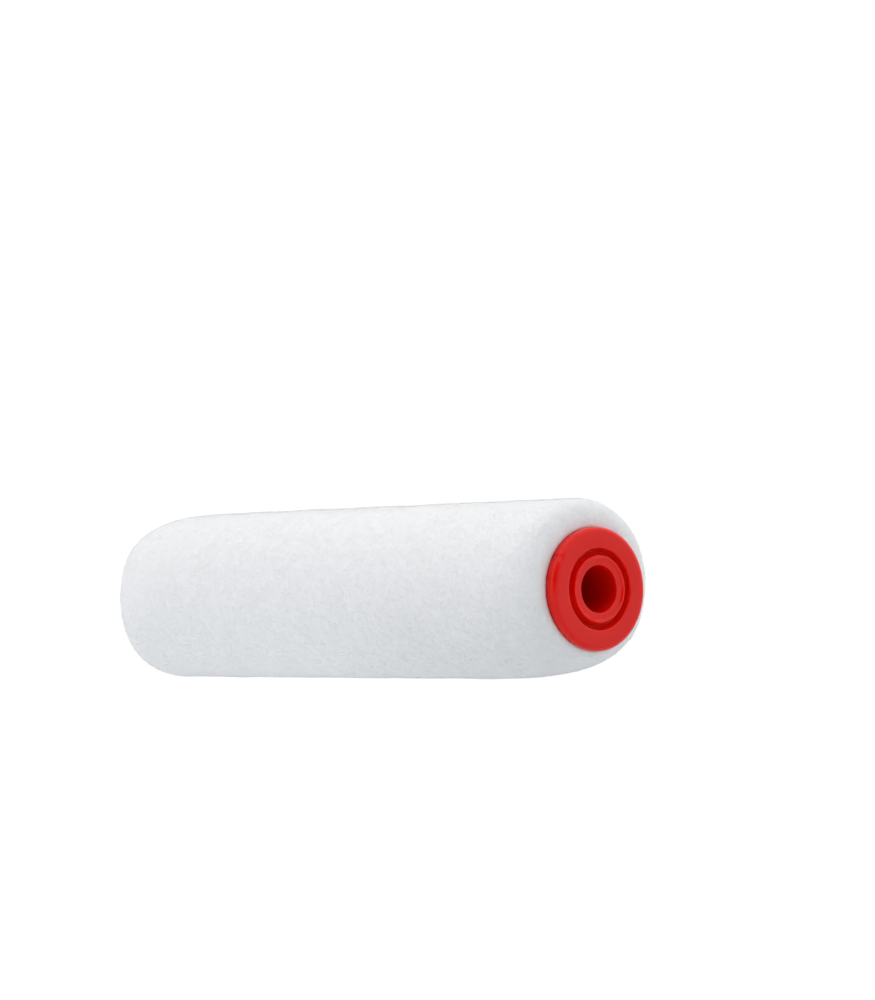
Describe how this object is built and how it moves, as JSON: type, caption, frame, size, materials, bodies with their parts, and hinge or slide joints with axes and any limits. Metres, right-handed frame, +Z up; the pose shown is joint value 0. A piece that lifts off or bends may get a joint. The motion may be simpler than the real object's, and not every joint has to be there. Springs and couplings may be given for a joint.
{
  "type": "mini paint roller sleeve",
  "caption": "Mini paint roller sleeve: a short white pile cover with rounded ends on a plastic tube, with a flanged red cap in each end, bored for a wire frame.",
  "frame": {"origin": "middle of the sleeve, on its axis, halfway between the flat faces of the caps", "axes": "+Y along the sleeve's axis, from the front cap towards the rear cap, and the axis it turns on; +Z up when it lies on a table"},
  "size_m": [0.0246, 0.1, 0.0246],
  "materials": {
    "pile": "matt short pile, white",
    "backing": "matt knitted cloth, off-white",
    "tube": "satin extruded polypropylene, natural grey",
    "cap": "satin moulded plastic, red"
  },
  "bodies": {
    "root": {"pile_cover": "pile", "backing_cloth": "backing", "core_tube": "tube", "end_cap_front": "cap", "end_cap_rear": "cap"}
  },
  "joints": []
}
